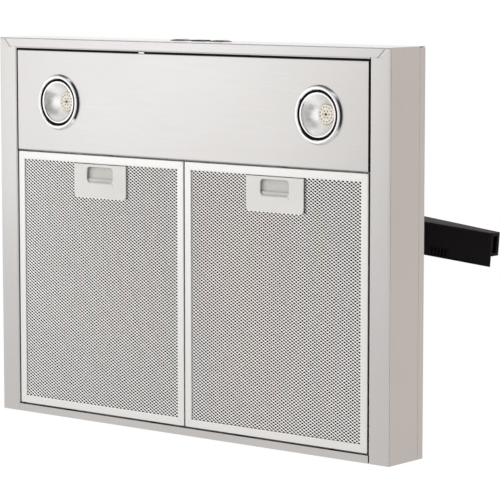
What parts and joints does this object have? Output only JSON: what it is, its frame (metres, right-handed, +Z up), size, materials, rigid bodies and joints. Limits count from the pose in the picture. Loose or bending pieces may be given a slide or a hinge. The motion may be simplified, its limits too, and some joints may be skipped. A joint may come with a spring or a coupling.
{
  "type": "under cabinet range hood",
  "caption": "Slim under cabinet range hood with a folded steel canopy, swing-down mesh filters, lamps, front switches, a centrifugal blower and a swivelling air diverter.",
  "frame": {"origin": "centre of the blower box top plate, the face that is screwed up against the cabinet floor", "axes": "+Z up, the front wall with the switches faces -Y, +X is to the right as seen from the front"},
  "size_m": [0.6, 0.466, 0.2906],
  "materials": {
    "brushed_steel": "brushed, satin",
    "galvanised_steel": "zinc coated sheet, spangled",
    "filter_frame": "satin folded strip",
    "filter_mesh": "expanded metal",
    "lamp_chrome": "bright",
    "bright_steel": "plated",
    "black_plastic": "fine moulded grain",
    "button_plastic": "satin",
    "rocker_plastic": "satin silver grey",
    "scroll_plastic": "moulded",
    "latch_plastic": "satin light grey",
    "white_plastic": "moulded",
    "led_board": "cream phosphor on a board"
  },
  "bodies": {
    "canopy": {"canopy_shell": "brushed_steel", "canopy_lid": "brushed_steel", "light_panel": "brushed_steel", "rear_panel": "galvanised_steel", "blower_box": "galvanised_steel", "filter_rail_front": "galvanised_steel", "filter_rail_rear": "galvanised_steel", "filter_rail_centre": "galvanised_steel", "lamp_can_left": "galvanised_steel", "lamp_can_right": "galvanised_steel", "junction_box": "galvanised_steel", "junction_cover": "galvanised_steel", "motor": "galvanised_steel", "motor_bracket": "galvanised_steel", "motor_capacitor": "galvanised_steel", "lamp_bezel_left": "lamp_chrome", "lamp_bezel_right": "lamp_chrome", "lamp_reflector_left": "lamp_chrome", "lamp_reflector_right": "lamp_chrome", "box_screw_front_left": "bright_steel", "box_screw_front_right": "bright_steel", "box_screw_rear_left": "bright_steel", "box_screw_rear_right": "bright_steel", "power_spring": "bright_steel", "damper_pin": "bright_steel", "outlet_collar": "black_plastic", "cable_gland": "black_plastic", "switch_housing": "black_plastic", "scroll_housing": "scroll_plastic", "inlet_ring_left": "white_plastic", "inlet_ring_right": "white_plastic", "terminal_block": "white_plastic", "led_driver": "white_plastic", "lamp_led_left": "led_board", "lamp_led_right": "led_board"},
    "filter_left": {"filter_frame_left": "filter_frame", "filter_mesh_left": "filter_mesh", "filter_media_left": "filter_mesh", "filter_back_mesh_left": "filter_mesh", "latch_plate_left": "latch_plastic", "latch_spring_left": "bright_steel"},
    "filter_right": {"filter_frame_right": "filter_frame", "filter_mesh_right": "filter_mesh", "filter_media_right": "filter_mesh", "filter_back_mesh_right": "filter_mesh", "latch_plate_right": "latch_plastic", "latch_spring_right": "bright_steel"},
    "latch_left": {"latch_slider_left": "latch_plastic"},
    "latch_right": {"latch_slider_right": "latch_plastic"},
    "rocker_light": {"rocker_light": "rocker_plastic"},
    "rocker_speed": {"rocker_speed": "rocker_plastic"},
    "power_button": {"power_button": "button_plastic"},
    "rotor": {"motor_shaft": "bright_steel", "impeller": "white_plastic"},
    "damper_front": {"damper_flap_front": "black_plastic"},
    "damper_rear": {"damper_flap_rear": "black_plastic"},
    "diverter": {"diverter_lower": "black_plastic", "diverter_upper": "black_plastic"}
  },
  "joints": [
    {"name": "filter_left_swing", "type": "hinge", "parent": "canopy", "child": "filter_left", "pos_m": [-0.135, 0.2213, -0.1745], "axis": [1, 0, 0], "range_deg": [0, 75]},
    {"name": "latch_left_slide", "type": "slide", "parent": "filter_left", "child": "latch_left", "axis": [0, 1, 0], "range_m": [0, 0.005], "stiffness_N_per_m": 400, "springref_m": -0.003, "deforming": ["latch_spring_left"]},
    {"name": "filter_right_swing", "type": "hinge", "parent": "canopy", "child": "filter_right", "pos_m": [0.135, 0.2213, -0.1745], "axis": [1, 0, 0], "range_deg": [0, 75]},
    {"name": "latch_right_slide", "type": "slide", "parent": "filter_right", "child": "latch_right", "axis": [0, 1, 0], "range_m": [0, 0.005], "stiffness_N_per_m": 400, "springref_m": -0.003, "deforming": ["latch_spring_right"]},
    {"name": "rocker_light_tilt", "type": "hinge", "parent": "canopy", "child": "rocker_light", "pos_m": [-0.03, -0.226, -0.143], "axis": [0, 0, 1], "range_deg": [-7, 7]},
    {"name": "rocker_speed_tilt", "type": "hinge", "parent": "canopy", "child": "rocker_speed", "pos_m": [0.03, -0.226, -0.143], "axis": [0, 0, 1], "range_deg": [-7, 7]},
    {"name": "power_button_press", "type": "slide", "parent": "canopy", "child": "power_button", "axis": [0, 1, 0], "range_m": [0, 0.0025], "stiffness_N_per_m": 400, "springref_m": -0.003, "deforming": ["power_spring"]},
    {"name": "fan_spin", "type": "hinge", "parent": "canopy", "child": "rotor", "pos_m": [0.07, 0.0465, -0.067], "axis": [1, 0, 0], "continuous": true},
    {"name": "damper_front_swing", "type": "hinge", "parent": "canopy", "child": "damper_front", "pos_m": [0.07, -0.001, 0.015], "axis": [-1, 0, 0], "range_deg": [0, 75]},
    {"name": "damper_rear_swing", "type": "hinge", "parent": "canopy", "child": "damper_rear", "pos_m": [0.07, -0.001, 0.015], "axis": [1, 0, 0], "range_deg": [0, 75]},
    {"name": "diverter_swivel", "type": "hinge", "parent": "canopy", "child": "diverter", "pos_m": [0.07, -0.001, 0.057], "axis": [0, 0, 1], "range_deg": [-90, 90]}
  ]
}
